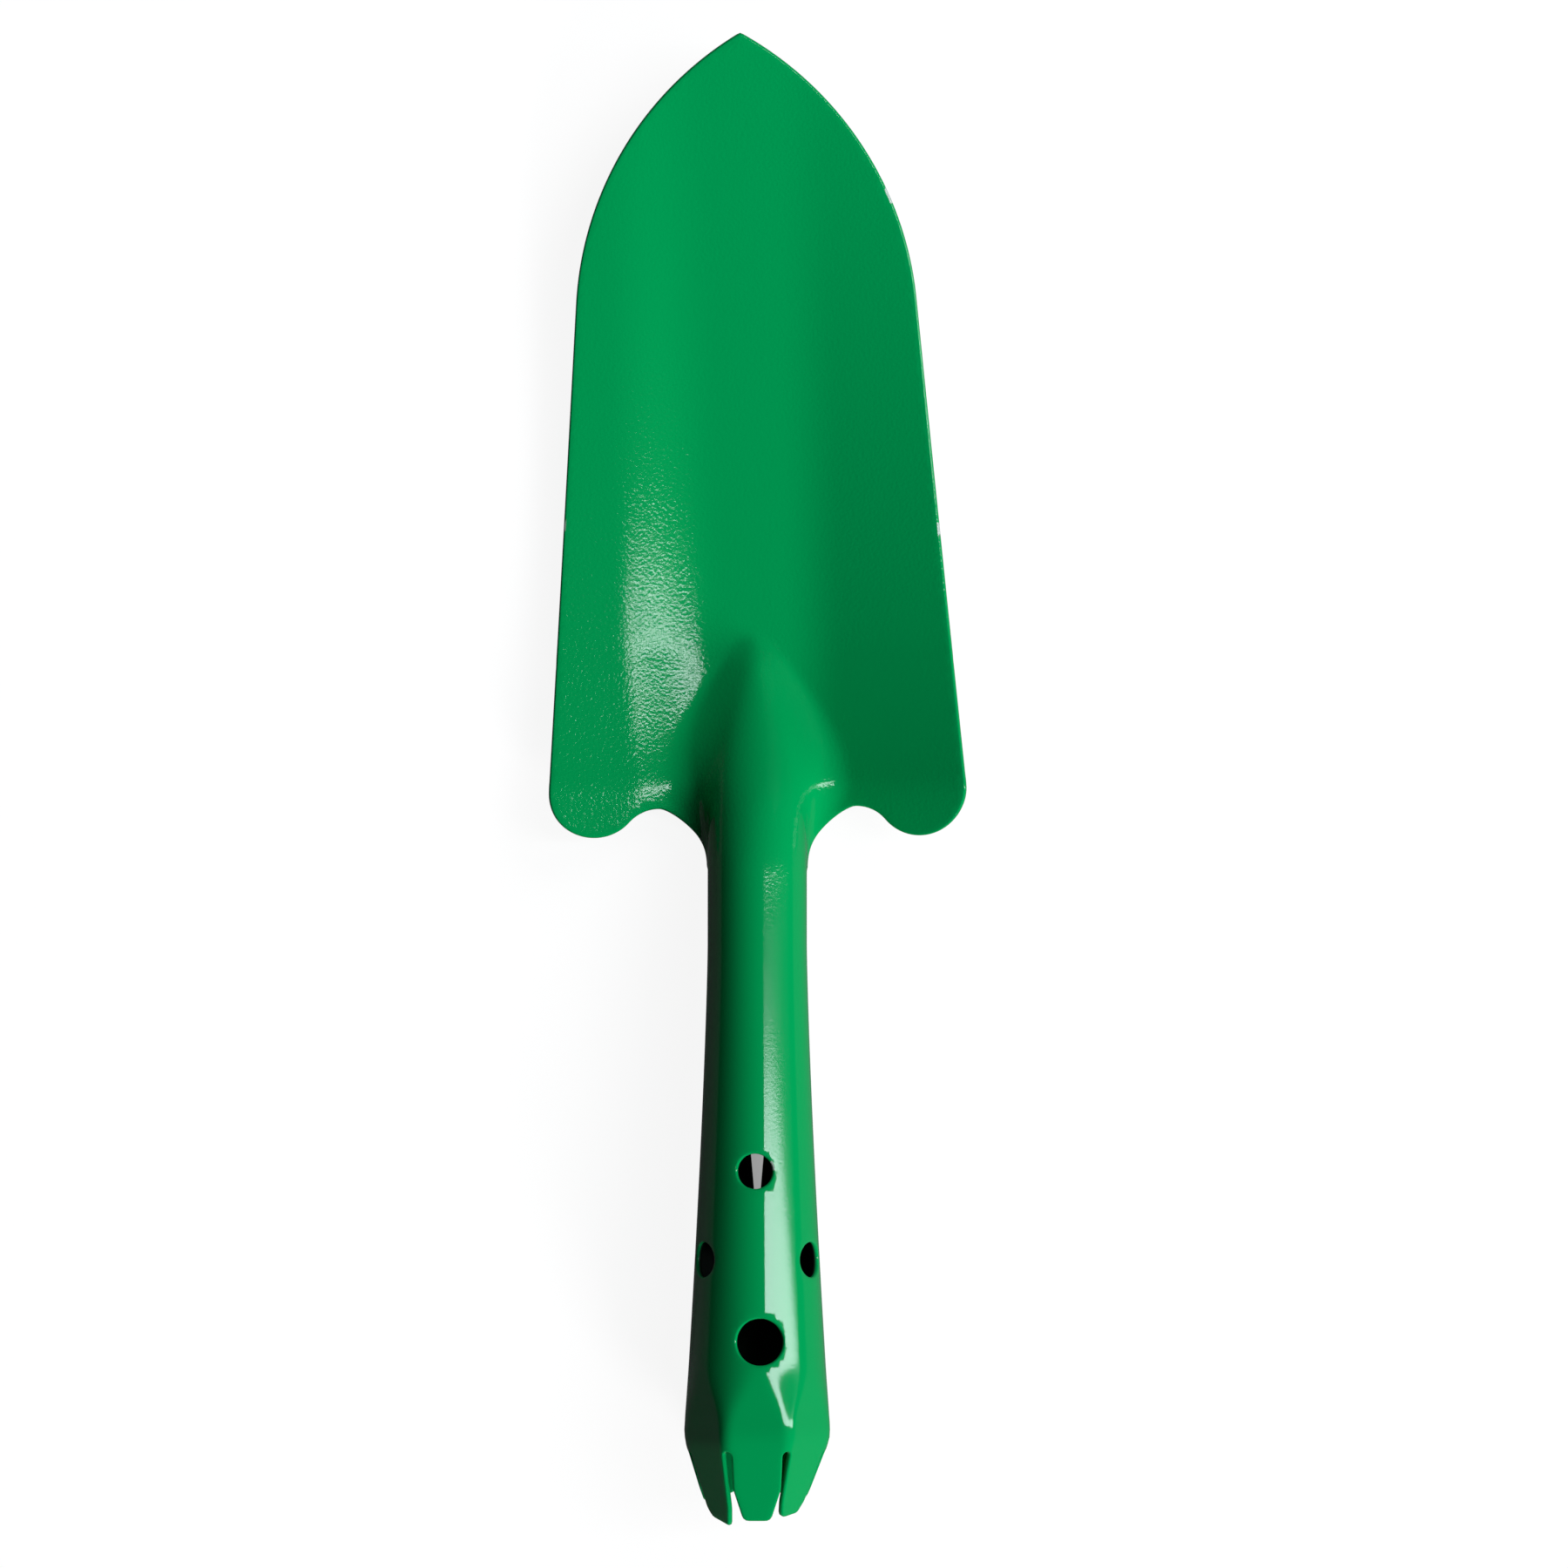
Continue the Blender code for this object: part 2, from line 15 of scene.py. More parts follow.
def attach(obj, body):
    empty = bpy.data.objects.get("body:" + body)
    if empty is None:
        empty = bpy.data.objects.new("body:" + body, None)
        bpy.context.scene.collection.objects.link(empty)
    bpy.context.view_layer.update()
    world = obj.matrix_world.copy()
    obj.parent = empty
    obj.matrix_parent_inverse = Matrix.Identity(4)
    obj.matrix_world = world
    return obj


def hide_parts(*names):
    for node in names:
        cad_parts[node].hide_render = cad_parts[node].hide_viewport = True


METRE = 0.001

SHEET = 1.3

# Blade, as seen from above
BLADE_WIDTH = 89.6
BLADE_LENGTH = 172.3
SIDE_TAPER = math.radians(4.47)
OGIVE_RADIUS = 72.1
TIP_RADIUS = 1.2
LOBE_RADIUS = 9.8
LOBE_BEHIND_NOTCH = 6.3
NOTCH_RADIUS = 8.4
NOTCH_HALF_WIDTH = 21.2
NOTCH_AHEAD_OF_NECK = 13.3
NOTCH_LEAD = 0.45
NECK_LEAD = 0.5
BLADE_LEAN = math.radians(1.3)
BLADE_SKEW = math.radians(0.9)

# Blade, as seen from the side and in section
TIP_LIFT = 16.0
WALL_SLOPE_REAR = math.radians(21.0)
WALL_SLOPE_TIP = math.radians(4.0)
FLOOR_HALF_WIDTH = 5.4
WALL_BEND = 15.0
WALL_LEAVES_NECK = 20.0
LEFT_WALL_FLARE = 0.74
LEFT_WALL_FLARE_WIDTH = 11.0

# Ridge that stiffens the blade and runs on into the grip
RIDGE_LENGTH = 53.0
RIDGE_FILLET = 9.0
RIDGE_FILLET_AT_NECK = 4.0
RIDGE_FILLET_RUN = 18.0
RIDGE_SPREAD = 0.6
RIDGE_START_RISE = 0.7
RIDGE_START_SOFTNESS = 0.18
RIDGE_LEAST = 0.001

# Neck and grip
NECK_STATION = 119.4
NECK_DIAMETER = 21.3
NECK_LENGTH = 16.0
NECK_STRIP_HALF_WIDTH = 20.2
NECK_ROLL_LENGTH = 55.0
GRIP_DIAMETER = 31.0
GRIP_SWELL = 1.35
GRIP_RISE = math.radians(5.1)
SEAM_CLOSES = 41.5
SEAM_GAP = 0.0

# Petals at the end of the grip
PETALS = 7
FACET_LENGTH = 14.0
FACET_SHARE = 0.8
FRONT_FOLD_ANGLE = math.radians(16.0)
LEFT_FOLD_ANGLE = math.radians(14.5)
RIGHT_FOLD_ANGLE = math.radians(19.0)
FOLD_LENGTH = 4.0
FOLD_BLEND = 0.2
SLOT_WIDTH = 2.5
SLOT_TOP = 4.6
FRONT_PETAL_LENGTH = 20.2
LEFT_PETAL_LENGTH = 21.2
RIGHT_PETAL_LENGTH = 19.9
MIDDLE_PETAL_LENGTH = 16.0
BACK_PETAL_LENGTH = 15.5
FRONT_SHOULDER = 0.65
FRONT_SHOULDER_HALF_WIDTH = 5.1
FRONT_END_HALF_WIDTH = 2.9
SIDE_SHOULDER = 0.82
SIDE_SHOULDER_HALF_WIDTH = 3.8
NEAR_END_HALF_WIDTH = 2.6
FAR_END_HALF_WIDTH = 2.4
LEFT_END_SLANT = 1.8
RIGHT_END_SLANT = 1.0
LEFT_PETAL_CORNER = 0.4
RIGHT_PETAL_CORNER = 1.8
PETAL_CORNER = 1.5
PETAL_SHOULDER_CORNER = 4.8

# Holes, as a station, an angle round the grip from its front, and a diameter
HOLES = (
    (55.0, math.radians(-2.2), 7.5),
    (36.0, -math.radians(61.0), 7.5),
    (36.0, math.radians(61.0), 7.5),
    (18.7, math.radians(2.6), 10.0),
)

# Camera, in metres, with its sensor in millimetres
CAMERA_DISTANCE = 2.5
CAMERA_PITCH = math.radians(0.4)
CAMERA_TARGET = (0.0057, -0.00135, 0.0115)
PICTURE_HEIGHT = 0.3364
SENSOR_WIDTH = 36.0
CLIP_START = 0.05
CLIP_END = 20.0

# Paint
GREEN = (0.0, 0.300, 0.078)
# Near-black colour painted as shade on the inside of the grip's tube, whose paint is green
PAINTED_SHADE_INSIDE = (0.002, 0.006, 0.004)
CHIPPED = (0.42, 0.52, 0.47)
CHIP_SCALE = 140.0
CHIP_FROM = 0.69
CHIP_BLEND = 0.02
SPECULAR = 0.4
ROUGHNESS_GRIP = 0.07
ROUGHNESS_BLADE = 0.09
ROUGHNESS_INSIDE = 0.9
PEEL_SCALE = 1500.0
PEEL_HEIGHT = 0.00015
PEEL_GRIP = 0.02
PEEL_BLADE = 0.30
NOISE_DETAIL = 2.0
NOISE_ROUGHNESS = 0.45

# Where the marks that steer the paint, the painted shade inside the tube among them, begin and end along
# the sheet
PAINTED_SHADE_FROM = 1.0
PAINTED_SHADE_BLEND = 10.0
PAINTED_SHADE_BLEND_AT_NECK = 15.0
PEEL_BLEND = 40.0
ON_FACE = 0.001

# Strip of light over the right side, in metres, which the gloss mirrors
STRIP_COLOUR = (0.86, 0.95, 1.0)
STRIP_REACH = 5.0
STRIP_HIGH = math.radians(14.0)
STRIP_LOW = math.radians(76.0)
STRIP_OFFSET = 0.345
STRIP_WIDTH = 0.32
STRIP_POWER = 80.0
STRIP_SLANT = math.radians(4.8)

# Fills, as a distance, a tilt from straight up, an angle round from the right, a size and a power
SIDE_FILL = (1.5, math.radians(46.0), 0.0, 0.5, 3.5)
LOW_FILL = (2.0, math.radians(70.0), math.radians(-60.0), 0.5, 35.0)
TIP_FILL = (0.6, math.radians(60.0), math.radians(49.0), 0.3, 1.9)
FILL_TARGET = (0.0, 0.0, 0.01)
WORLD_STRENGTH = 0.01

# Floor, in metres
FLOOR_SIZE = 6.0
FLOOR_DROP = 0.0005
FLOOR_ROUGHNESS = 0.9
FLOOR_GREY = 0.13
FLOOR_LIT_OUT_TO = 0.25
FLOOR_DARK_FROM = 0.6
FLOOR_GLOW = 0.91
FLOOR_MIRRORED = 0.05
# Painted shade: the floor's glow is lowered in a strip right under the grip
PAINTED_SHADE_UNDER_GRIP = 0.35
UNDER_GRIP_HALF_WIDTH = 0.005
UNDER_GRIP_OUT_TO = 0.010
UNDER_GRIP_FROM = -0.04
UNDER_GRIP_TO = -0.14
UNDER_GRIP_BLEND = 0.01

# Fineness of the mesh
OUTLINE_STEP = 0.75
HOLE_SIDES = 64
EDGE_ROUND = 0.45
EDGE_STEPS = 4
CELL_BLADE = 1.3
CELL_GRIP_ACROSS = 0.8
CELL_GRIP_ALONG = 1.5
CLEAR_OF_EDGE = 0.45
WALK_STEPS = 240
CREST_STEPS = 960
ARC_STEP = math.radians(4.0)
OGIVE_STEP = math.radians(0.6)
SIDE_STEP = 2.0
NOTCH_POINTS = 25
GRIP_EDGE_POINTS = 60
REACH_STEPS = 400
NORMAL_STEP = 0.02
DELAUNAY_TOLERANCE = 1e-5

NOTCH_STATION = NECK_STATION + NOTCH_AHEAD_OF_NECK
LOBE_STATION = NOTCH_STATION - LOBE_BEHIND_NOTCH
WIDEST_STATION = LOBE_STATION + LOBE_RADIUS
TIP_STATION = LOBE_STATION + BLADE_LENGTH
RIDGE_START = NECK_STATION + RIDGE_LENGTH
PITCH_ANGLE = 2.0 * math.pi / PETALS
GRIP_RADIUS = (GRIP_DIAMETER - SHEET) / 2.0
SEAM_CORNER = FACET_SHARE * GRIP_RADIUS * (PITCH_ANGLE / 2.0 / math.sin(PITCH_ANGLE / 2.0) - 1.0)
GRIP_FRONT = SEAM_CORNER + GRIP_DIAMETER - SHEET / 2.0


def ease(part):
    """0 to 1 with level ends."""
    part = np.clip(part, 0.0, 1.0)
    return part * part * (3.0 - 2.0 * part)


def tube_radius(station):
    """Radius of the middle of the sheet round the neck and grip."""
    swell = np.clip((NECK_STATION - NECK_LENGTH - station) / (NECK_STATION - NECK_LENGTH), 0.0, 1.0)
    return (NECK_DIAMETER + (GRIP_DIAMETER - NECK_DIAMETER) * swell**GRIP_SWELL - SHEET) / 2.0


def grip_front(station):
    """Height of the grip's front line. At the fold, the seam's corner below it rests on the ground."""
    return GRIP_FRONT - math.tan(GRIP_RISE) * station


def floor_height(station):
    """Height of the blade's floor, which is lowest where the ridge starts and lifts to the tip."""
    along = (station - RIDGE_START) / (TIP_STATION - RIDGE_START)
    return SHEET / 2.0 + (TIP_LIFT - SHEET / 2.0) * along * along


def floor_slope(station):
    return 2.0 * (TIP_LIFT - SHEET / 2.0) * (station - RIDGE_START) / (TIP_STATION - RIDGE_START) ** 2


def ridge_progress(station):
    return np.clip((RIDGE_START - station) / RIDGE_LENGTH, 0.0, 1.0)


def ridge_height(station):
    """Height of the ridge's crest over the blade's floor, which leads into the grip's front line."""
    part = ridge_progress(station)
    full = grip_front(NECK_STATION) - floor_height(NECK_STATION)
    start_slope = RIDGE_START_RISE * full
    end_slope = (math.tan(GRIP_RISE) + floor_slope(NECK_STATION)) * RIDGE_LENGTH
    start = start_slope * part * (1.0 - part) ** 2
    end = end_slope * part * part * (part - 1.0)
    return (start + full * ease(part) + end) * ease(part / RIDGE_START_SOFTNESS)


def ridge_size(station):
    """Size of the ridge's section, from nothing where it starts to 1 where it has its full width."""
    part = np.clip(ridge_progress(station) / RIDGE_SPREAD, RIDGE_LEAST, 1.0)
    return part * (3.0 - part * part) / 2.0


def ridge_radii(station):
    """Radius of the ridge's crest and of the fillet at its foot."""
    size = ridge_size(station)
    spread = ease((station - NECK_STATION) / RIDGE_FILLET_RUN)
    fillet = RIDGE_FILLET_AT_NECK + (RIDGE_FILLET - RIDGE_FILLET_AT_NECK) * spread
    return tube_radius(NECK_STATION) * size, fillet * size


def ridge_angle(width, station):
    """Downward slope of the ridge's section: crest, straight flank and fillet."""
    height = ridge_height(station)
    crest, fillet = ridge_radii(station)
    both = crest + fillet
    flank = 2.0 * np.arctan2(both - np.abs(both - height), 2.0 * both - height)
    straight = np.hypot(both - both * np.sin(flank), height - both * (1.0 - np.cos(flank)))
    on_crest = np.minimum(width / crest, flank)
    on_fillet = flank - (width - crest * flank - straight) / fillet
    return np.clip(np.minimum(on_crest, on_fillet), 0.0, None)


def wall_slope(station):
    along = (station - WIDEST_STATION) / (TIP_STATION - WIDEST_STATION)
    return WALL_SLOPE_REAR + (WALL_SLOPE_TIP - WALL_SLOPE_REAR) * np.clip(along, 0.0, 1.0)


def wall_angle(width, station, side):
    """Upward slope of the dished blade's wall, which is flatter towards the edge on the left."""
    leaving = ease((station - NECK_STATION) / WALL_LEAVES_NECK)
    start = NECK_STRIP_HALF_WIDTH + (FLOOR_HALF_WIDTH - NECK_STRIP_HALF_WIDTH) * leaving
    reach = width - start
    flare = np.where(side < 0.0, LEFT_WALL_FLARE, 0.0) * ease((reach - WALL_BEND) / LEFT_WALL_FLARE_WIDTH)
    return wall_slope(station) * ease(reach / WALL_BEND) * (1.0 - flare)


def blade_angle(width, station, side):
    return ridge_angle(width, station) - wall_angle(width, station, side)


def facet_share(station):
    return FACET_SHARE * ease((FACET_LENGTH - station) / FACET_LENGTH)


def tube_angle(width, station):
    """Slope of the tube's section: legs that roll in to a circle, then a circle that turns to facets."""
    turn = width / tube_radius(station)
    rolled = math.pi / 2.0 * (1.0 + ease((NECK_STATION - station) / NECK_ROLL_LENGTH))
    turn = np.minimum(turn, rolled)
    sector = np.round(turn / PITCH_ANGLE)
    off_middle = turn / PITCH_ANGLE - sector
    flat = facet_share(station)
    corner = np.sign(off_middle) * np.clip(np.abs(off_middle) - flat / 2.0, 0.0, None) / (1.0 - flat)
    return PITCH_ANGLE * (sector + corner)


def section_angle(width, station, side):
    return np.where(station < NECK_STATION, tube_angle(width, station), blade_angle(width, station, side))


def blade_crest_height(station):
    """Height of the blade's centre line, with the ridge raised so that the walls beside it stay smooth."""
    steps = BLADE_WIDTH / 2.0 * (np.arange(CREST_STEPS) + 0.5) / CREST_STEPS
    ridge = ridge_angle(steps, station[:, None])
    wall = wall_angle(steps, station[:, None], 1.0)
    drop = BLADE_WIDTH / 2.0 * (np.sin(ridge - wall) + np.sin(wall)).mean(axis=1)
    return floor_height(station) + drop


def crest_height(station):
    """Height of the sheet's centre line."""
    radius = tube_radius(station)
    flat = facet_share(station)
    half = PITCH_ANGLE / 2.0
    facet_drop = flat * radius * (1.0 - half / math.tan(half))
    tube = grip_front(station) - facet_drop
    return np.where(station < NECK_STATION, tube, blade_crest_height(station))


def lean(station):
    """Sideways offset of the blade, which leans a little off the grip's line."""
    return -math.tan(BLADE_LEAN) * np.clip(station - WIDEST_STATION, 0.0, None)


def skew(station):
    """How much further towards the tip a point of the blade lies for each step to the right."""
    return math.tan(BLADE_SKEW) * ease((station - NECK_STATION) / NOTCH_AHEAD_OF_NECK)


def walk(width, station):
    """Sideways and downward distance reached by walking along the section from its centre line."""
    steps = (np.arange(WALK_STEPS) + 0.5) / WALK_STEPS
    size = np.abs(width)
    angles = section_angle(size[:, None] * steps, station[:, None], np.sign(width)[:, None])
    return width * np.cos(angles).mean(axis=1), size * np.sin(angles).mean(axis=1)


def fold(width, station):
    """Where a point beyond the fold lies: how far in, and its place along the grip."""
    steps = (np.arange(WALK_STEPS) + 0.5) / WALK_STEPS
    beyond = np.maximum(-station, 0.0)
    petal = np.abs(width) / (PITCH_ANGLE * tube_radius(0.0))
    hand = np.where(width < 0.0, LEFT_FOLD_ANGLE, RIGHT_FOLD_ANGLE)
    full = FRONT_FOLD_ANGLE + (hand - FRONT_FOLD_ANGLE) * ease((petal - 0.5) / FOLD_BLEND + 0.5)
    angles = full[:, None] * ease(beyond[:, None] * steps / FOLD_LENGTH)
    inward = beyond * np.sin(angles).mean(axis=1)
    along = np.maximum(station, 0.0) - beyond * np.cos(angles).mean(axis=1)
    return inward, along


def middle_of_sheet(width, station):
    """Points on the middle of the formed sheet."""
    held = np.maximum(station, 0.0)
    side, down = walk(width, held)
    angle = section_angle(np.abs(width), held, np.sign(width)) * np.sign(width)
    inward, along = fold(width, station)
    return np.stack(
        [
            side - np.sin(angle) * inward + lean(held),
            along + side * skew(held),
            crest_height(held) - down - np.cos(angle) * inward,
        ],
        axis=1,
    )


def formed(width, station, depth):
    """The blank's points carried to the formed sheet."""
    step = NORMAL_STEP
    across = middle_of_sheet(width + step, station) - middle_of_sheet(width - step, station)
    along = middle_of_sheet(width, station + step) - middle_of_sheet(width, station - step)
    normal = np.cross(across, along)
    normal /= np.linalg.norm(normal, axis=1)[:, None]
    return middle_of_sheet(width, station) + normal * depth[:, None]


def developed(points, side):
    """Points of the plan view with their sideways distance measured along the formed sheet instead."""
    reach = np.linspace(0.0, BLADE_WIDTH, REACH_STEPS)
    result = []
    for width, station in points:
        sides, _ = walk(side * reach, np.full_like(reach, station))
        result.append((float(np.interp(width, side * sides, reach)), station))
    return result


def arc(centre, radius, start, end, step=ARC_STEP):
    """Points round an arc, both ends included."""
    count = max(2, math.ceil(abs(end - start) / step) + 1)
    return [
        (centre[0] + radius * math.cos(turn), centre[1] + radius * math.sin(turn))
        for turn in np.linspace(start, end, count)
    ]


def bezier(first, lead_out, lead_in, last, count):
    points = []
    for part in np.linspace(0.0, 1.0, count):
        rest = 1.0 - part
        weights = (rest**3, 3.0 * rest * rest * part, 3.0 * rest * part * part, part**3)
        corners = (first, lead_out, lead_in, last)
        points.append(tuple(sum(w * c[axis] for w, c in zip(weights, corners)) for axis in (0, 1)))
    return points


def rounded(before, corner, after, radius):
    """An arc in place of a corner."""
    into = np.subtract(before, corner)
    out = np.subtract(after, corner)
    into_length = np.linalg.norm(into)
    out_length = np.linalg.norm(out)
    into = into / into_length
    out = out / out_length
    half = math.acos(float(np.clip(np.dot(into, out), -1.0, 1.0))) / 2.0
    setback = min(radius / math.tan(half), into_length / 2.0, out_length / 2.0)
    radius = setback * math.tan(half)
    middle = (into + out) / np.linalg.norm(into + out)
    centre = np.asarray(corner) + middle * radius / math.sin(half)
    start = np.asarray(corner) + into * setback - centre
    end = np.asarray(corner) + out * setback - centre
    turn_start = math.atan2(start[1], start[0])
    sweep = math.atan2(start[0] * end[1] - start[1] * end[0], float(np.dot(start, end)))
    return arc(centre, radius, turn_start, turn_start + sweep)


def side_line(station):
    """Half width of the blade along its straight side."""
    return BLADE_WIDTH / 2.0 - (station - WIDEST_STATION) * math.tan(SIDE_TAPER)


def ogive():
    """The arc from the tip to the straight side, which it meets without a corner."""
    facing = np.array([math.cos(SIDE_TAPER), math.sin(SIDE_TAPER)])
    along = np.array([-math.sin(SIDE_TAPER), math.cos(SIDE_TAPER)])
    on_side = np.array([BLADE_WIDTH / 2.0, WIDEST_STATION]) - facing * OGIVE_RADIUS
    tip = np.array([0.0, TIP_STATION])
    gap = tip - on_side
    reach = float(np.dot(gap, along))
    off = float(np.dot(gap, facing))
    centre = on_side + along * (reach - math.sqrt(OGIVE_RADIUS**2 - off * off))
    start = math.atan2(tip[1] - centre[1], tip[0] - centre[0])
    points = arc(centre, OGIVE_RADIUS, start, SIDE_TAPER, OGIVE_STEP)
    blunted = rounded((-points[1][0], points[1][1]), points[0], points[1], TIP_RADIUS)
    return [point for point in blunted if point[0] >= 0.0] + points[1:]


def straight_side(start, end):
    """Points down the straight side, which the formed sheet needs at short steps."""
    count = math.ceil((start - end) / SIDE_STEP)
    return [(side_line(station), float(station)) for station in np.linspace(start, end, count + 1)[1:-1]]


def lobe_and_notch():
    """The round rear corner of the blade, and the first half of the notch beside the neck."""
    rear = LOBE_STATION + LOBE_RADIUS
    lobe = (side_line(rear) - LOBE_RADIUS / math.cos(SIDE_TAPER), rear)
    notch = (NOTCH_HALF_WIDTH, NOTCH_STATION - NOTCH_RADIUS)
    gap = math.hypot(lobe[0] - notch[0], lobe[1] - notch[1])
    facing = math.atan2(notch[1] - lobe[1], notch[0] - lobe[0])
    lean_in = math.acos(min(1.0, (LOBE_RADIUS + NOTCH_RADIUS) / gap))
    leave = (facing + lean_in) % (2.0 * math.pi) - 2.0 * math.pi
    round_lobe = arc(lobe, LOBE_RADIUS, SIDE_TAPER, leave)
    return round_lobe + arc(notch, NOTCH_RADIUS, leave + math.pi, math.pi / 2.0)


def strip_half_width(station):
    """Half width of the strip that is rolled into the neck and the grip."""
    closed = math.pi * tube_radius(station) - SEAM_GAP / 2.0
    at_close = math.pi * tube_radius(SEAM_CLOSES) - SEAM_GAP / 2.0
    open_part = (station - SEAM_CLOSES) / (NECK_STATION - SEAM_CLOSES)
    straight = at_close + (NECK_STRIP_HALF_WIDTH - at_close) * open_part
    return float(min(closed, straight) if station > SEAM_CLOSES else closed)


def notch_to_neck(start):
    """The second half of the notch, down to the strip's edge."""
    end = (strip_half_width(NECK_STATION), NECK_STATION)
    return bezier(
        start,
        (start[0] - NOTCH_LEAD * (start[0] - end[0]), start[1]),
        (end[0], end[1] + NECK_LEAD * (start[1] - end[1])),
        end,
        NOTCH_POINTS,
    )


def petal_length(index, hand):
    """Length of a petal, counted from the front one round to the seam."""
    side = LEFT_PETAL_LENGTH if hand < 0.0 else RIGHT_PETAL_LENGTH
    return (FRONT_PETAL_LENGTH, side, MIDDLE_PETAL_LENGTH, BACK_PETAL_LENGTH)[index]


def petal_end(index, side, hand):
    """The end's corner, as a width and a distance from the fold, and the distance of the end's middle."""
    length = petal_length(index, hand)
    if index == 0:
        return (FRONT_END_HALF_WIDTH, length), length
    slant = LEFT_END_SLANT if hand < 0.0 else RIGHT_END_SLANT
    middle = length - slant * NEAR_END_HALF_WIDTH / (NEAR_END_HALF_WIDTH + FAR_END_HALF_WIDTH)
    if side < 0.0:
        return (NEAR_END_HALF_WIDTH, length), middle
    return (FAR_END_HALF_WIDTH, length - slant), middle


def petal_side(index, side, hand):
    """One side of a petal, from the slot to the middle of its end."""
    pitch = PITCH_ANGLE * float(tube_radius(0.0))
    centre = index * pitch
    length = petal_length(index, hand)
    (end_half_width, end_length), middle = petal_end(index, side, hand)
    corner = PETAL_CORNER
    if index > 0 and side < 0.0:
        corner = LEFT_PETAL_CORNER if hand < 0.0 else RIGHT_PETAL_CORNER
    shoulder = (SIDE_SHOULDER_HALF_WIDTH, SIDE_SHOULDER * length)
    if index == 0:
        shoulder = (FRONT_SHOULDER_HALF_WIDTH, FRONT_SHOULDER * length)
    corners = [
        (centre + side * (pitch - SLOT_WIDTH) / 2.0, -SLOT_TOP - SLOT_WIDTH / 2.0),
        (centre + side * shoulder[0], -shoulder[1]),
        (centre + side * end_half_width, -end_length),
        (centre, -middle),
    ]
    points = [corners[0]]
    points += rounded(corners[0], corners[1], corners[2], PETAL_SHOULDER_CORNER)
    points += rounded(corners[1], corners[2], corners[3], corner)
    return points


def petals(hand):
    """The outline of the petals and slots, from the seam to the middle of the front petal."""
    pitch = PITCH_ANGLE * float(tube_radius(0.0))
    points = []
    for index in range((PETALS - 1) // 2, 0, -1):
        points += petal_side(index, 1.0, hand)
        points += petal_side(index, -1.0, hand)[::-1]
        slot = ((index - 0.5) * pitch, -SLOT_TOP - SLOT_WIDTH / 2.0)
        points += arc(slot, SLOT_WIDTH / 2.0, 0.0, math.pi)[1:-1]
    return points + petal_side(0, 1.0, hand)


def half_outline(side):
    """One half of the blank, from the tip to the middle of the front petal."""
    front = ogive()
    rear = lobe_and_notch()
    points = developed(front + straight_side(front[-1][1], rear[0][1]) + rear, side)
    points += notch_to_neck(points[-1])[1:]
    stations = sorted([*np.linspace(NECK_STATION, 0.0, GRIP_EDGE_POINTS)[1:], SEAM_CLOSES], reverse=True)
    points += [(strip_half_width(station), float(station)) for station in stations]
    return points + petals(side)


def outline():
    right = half_outline(1.0)
    left = [(-width, station) for width, station in reversed(half_outline(-1.0)) if width > 0.0]
    return np.array(right + left)


def evenly(loop, step):
    """The closed loop with points at even short steps."""
    closed = np.vstack([loop, loop[:1]])
    lengths = np.hypot(*np.diff(closed, axis=0).T)
    places = np.concatenate([[0.0], np.cumsum(lengths)])
    count = int(round(places[-1] / step))
    at = np.linspace(0.0, places[-1], count, endpoint=False)
    return np.stack([np.interp(at, places, closed[:, axis]) for axis in (0, 1)], axis=1)


def into_sheet(loop):
    """Unit vectors that point into the sheet from a loop that runs with the sheet on its right."""
    ahead = np.roll(loop, -1, axis=0) - np.roll(loop, 1, axis=0)
    ahead /= np.linalg.norm(ahead, axis=1)[:, None]
    return np.stack([ahead[:, 1], -ahead[:, 0]], axis=1)


def with_sheet_on_right(loop, hole):
    nxt = np.roll(loop, -1, axis=0)
    area = float(np.sum(loop[:, 0] * nxt[:, 1] - nxt[:, 0] * loop[:, 1]))
    clockwise = area < 0.0
    return loop if clockwise != hole else loop[::-1]


def hole_loop(station, angle, diameter):
    centre = (angle * float(tube_radius(station)), station)
    turns = np.linspace(0.0, 2.0 * math.pi, HOLE_SIDES, endpoint=False)
    return np.stack(
        [centre[0] + diameter / 2.0 * np.cos(turns), centre[1] + diameter / 2.0 * np.sin(turns)], axis=1
    )


def inside(points, loops):
    """Even-odd test of the points against all loops at once."""
    odd = np.zeros(len(points), dtype=bool)
    for loop in loops:
        for (x0, y0), (x1, y1) in zip(loop, np.roll(loop, -1, axis=0)):
            if y0 == y1:
                continue
            crosses = (points[:, 1] > min(y0, y1)) & (points[:, 1] <= max(y0, y1))
            where = x0 + (points[:, 1] - y0) * (x1 - x0) / (y1 - y0)
            odd ^= crosses & (points[:, 0] < where)
    return odd


def grid(loops):
    """Points inside the sheet, closer together across the grip, and clear of every edge."""
    far = float(np.max(loops[0][:, 0])) + 1.0
    low = float(np.min(loops[0][:, 1]))
    blocks = []
    for across, along, start, end in (
        (CELL_GRIP_ACROSS, CELL_GRIP_ALONG, low, NECK_STATION),
        (CELL_BLADE, CELL_BLADE, NECK_STATION, TIP_STATION),
    ):
        columns = int(far / across)
        widths = np.arange(-columns, columns + 1) * across
        stations = np.arange(start + along / 2.0, end, along)
        wide, tall = np.meshgrid(widths, stations)
        wide = wide + np.where(np.arange(len(stations)) % 2, across / 4.0, -across / 4.0)[:, None]
        blocks.append(np.stack([wide.ravel(), tall.ravel()], axis=1))
    points = np.vstack(blocks)
    points = points[inside(points, loops)]
    edge = np.vstack(loops)
    tree = kdtree.KDTree(len(edge))
    for index, (x, y) in enumerate(edge):
        tree.insert((x, y, 0.0), index)
    tree.balance()
    clear = [tree.find((x, y, 0.0))[2] > CLEAR_OF_EDGE for x, y in points]
    return points[np.array(clear)]


